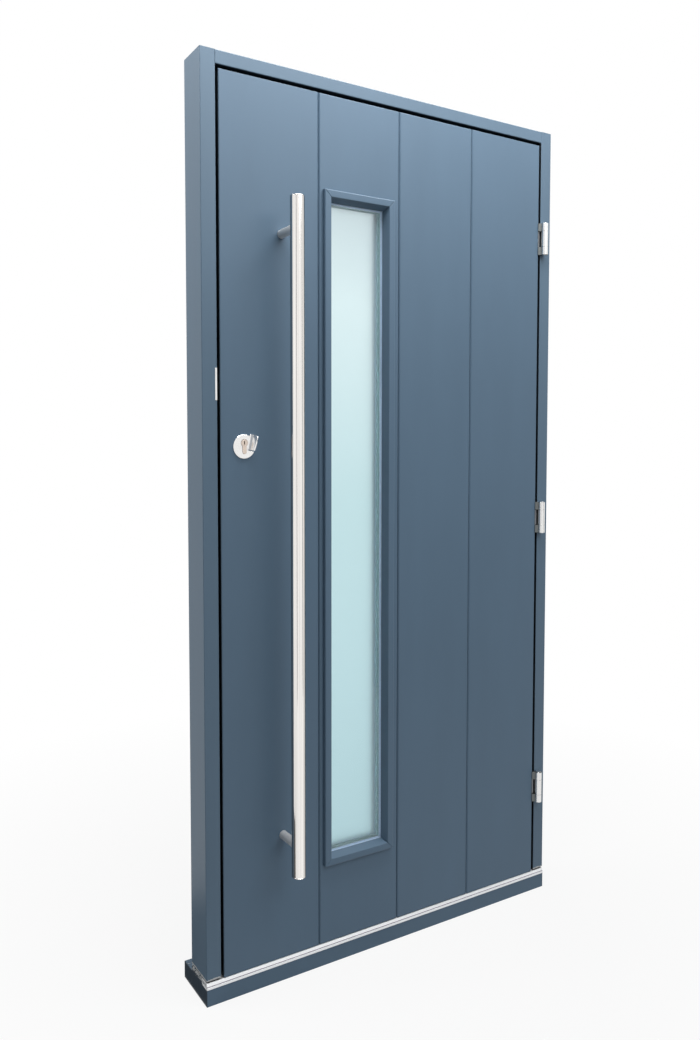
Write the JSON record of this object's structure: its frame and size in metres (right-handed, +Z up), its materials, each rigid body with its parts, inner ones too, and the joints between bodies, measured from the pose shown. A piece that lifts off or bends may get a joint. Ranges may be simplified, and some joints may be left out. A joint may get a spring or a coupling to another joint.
{
  "type": "entrance door with frame",
  "caption": "Outward-opening boarded entrance door in its timber frame, with a tall narrow glazed light, a long tubular pull handle, a cylinder pull, a dead bolt and a roller latch.",
  "frame": {"origin": "middle of the frame's width on the underside of the sill, in the plane of the frame's outside face", "axes": "+Z up, +X along the wall from the lock side to the hinge side as seen from outside, +Y from outside to inside"},
  "size_m": [1.036, 0.218, 2.1],
  "materials": {
    "painted_timber": "satin blue-grey paint",
    "core_timber": "bare",
    "black_rubber": "matt",
    "bare_alloy": "satin",
    "clear_glass": "clear",
    "frosted_glass": "frosted",
    "grey_spacer": "matt",
    "brushed_stainless": "brushed",
    "plain_steel": "zinc plated",
    "bright_chrome": "polished"
  },
  "bodies": {
    "frame": {"lock_jamb": "painted_timber", "hinge_jamb": "painted_timber", "frame_head": "painted_timber", "sill": "painted_timber", "stop_strips": "painted_timber", "threshold_bar": "bare_alloy", "foot_gaskets": "black_rubber", "lock_side_seal": "black_rubber", "hinge_side_seal": "black_rubber", "head_seal": "black_rubber", "sill_seal": "black_rubber", "latch_keep": "brushed_stainless", "bolt_keep": "brushed_stainless", "keep_screws": "plain_steel", "corner_dowels": "core_timber", "sill_screws": "plain_steel", "frame_hinge_top": "brushed_stainless", "frame_hinge_middle": "brushed_stainless", "frame_hinge_bottom": "brushed_stainless", "hinge_pins": "brushed_stainless", "frame_hinge_screws": "plain_steel"},
    "leaf": {"outer_board_1": "painted_timber", "outer_board_2": "painted_timber", "outer_board_3": "painted_timber", "outer_board_4": "painted_timber", "lock_stile": "painted_timber", "hinge_stile": "painted_timber", "top_rail": "painted_timber", "bottom_rail": "painted_timber", "core_panel": "core_timber", "inner_boards": "painted_timber", "outer_beads": "painted_timber", "inner_beads": "painted_timber", "outer_pane": "clear_glass", "inner_pane": "frosted_glass", "pane_spacer": "grey_spacer", "glazing_tapes": "black_rubber", "setting_blocks": "black_rubber", "door_hinge_top": "brushed_stainless", "door_hinge_middle": "brushed_stainless", "door_hinge_bottom": "brushed_stainless", "door_hinge_screws": "plain_steel", "pull_tube": "brushed_stainless", "pull_end_caps": "brushed_stainless", "pull_post_top": "brushed_stainless", "pull_post_bottom": "brushed_stainless", "pull_bolts": "plain_steel", "pull_covers": "brushed_stainless", "lock_forend": "brushed_stainless", "lock_case": "plain_steel", "forend_screws": "plain_steel", "cylinder_body": "bright_chrome", "cylinder_pull": "bright_chrome", "inner_rose": "bright_chrome"},
    "thumbturn": {"thumbturn": "bright_chrome"},
    "dead_bolt": {"dead_bolt": "plain_steel"},
    "key_plug": {"key_plug": "bright_chrome"},
    "roller_carrier": {"roller_carrier": "plain_steel", "roller_pin": "plain_steel"},
    "roller": {"roller": "bright_chrome"}
  },
  "joints": [
    {"name": "door_swing", "type": "hinge", "parent": "frame", "child": "leaf", "pos_m": [0.488, -0.01, 1.056], "axis": [0, 0, 1], "range_deg": [0, 110]},
    {"name": "thumbturn_turn", "type": "hinge", "parent": "leaf", "child": "thumbturn", "pos_m": [-0.418, 0.029, 1.26], "axis": [0, -1, 0], "range_deg": [0, 90]},
    {"name": "bolt_throw", "type": "slide", "parent": "leaf", "child": "dead_bolt", "axis": [-1, 0, 0], "range_m": [0, 0.02]},
    {"name": "key_plug_turn", "type": "hinge", "parent": "leaf", "child": "key_plug", "pos_m": [-0.418, 0.029, 1.26], "axis": [0, 1, 0], "range_deg": [0, 90]},
    {"name": "roller_push", "type": "slide", "parent": "leaf", "child": "roller_carrier", "axis": [1, 0, 0], "range_m": [0, 0.005], "stiffness_N_per_m": 2500},
    {"name": "roller_spin", "type": "hinge", "parent": "roller_carrier", "child": "roller", "pos_m": [-0.4735, 0.029, 1.388], "axis": [0, 0, 1], "continuous": true}
  ],
  "couplings": [
    {"joint": "thumbturn_turn", "follows": "bolt_throw", "rad_per_m": 78.54}
  ]
}
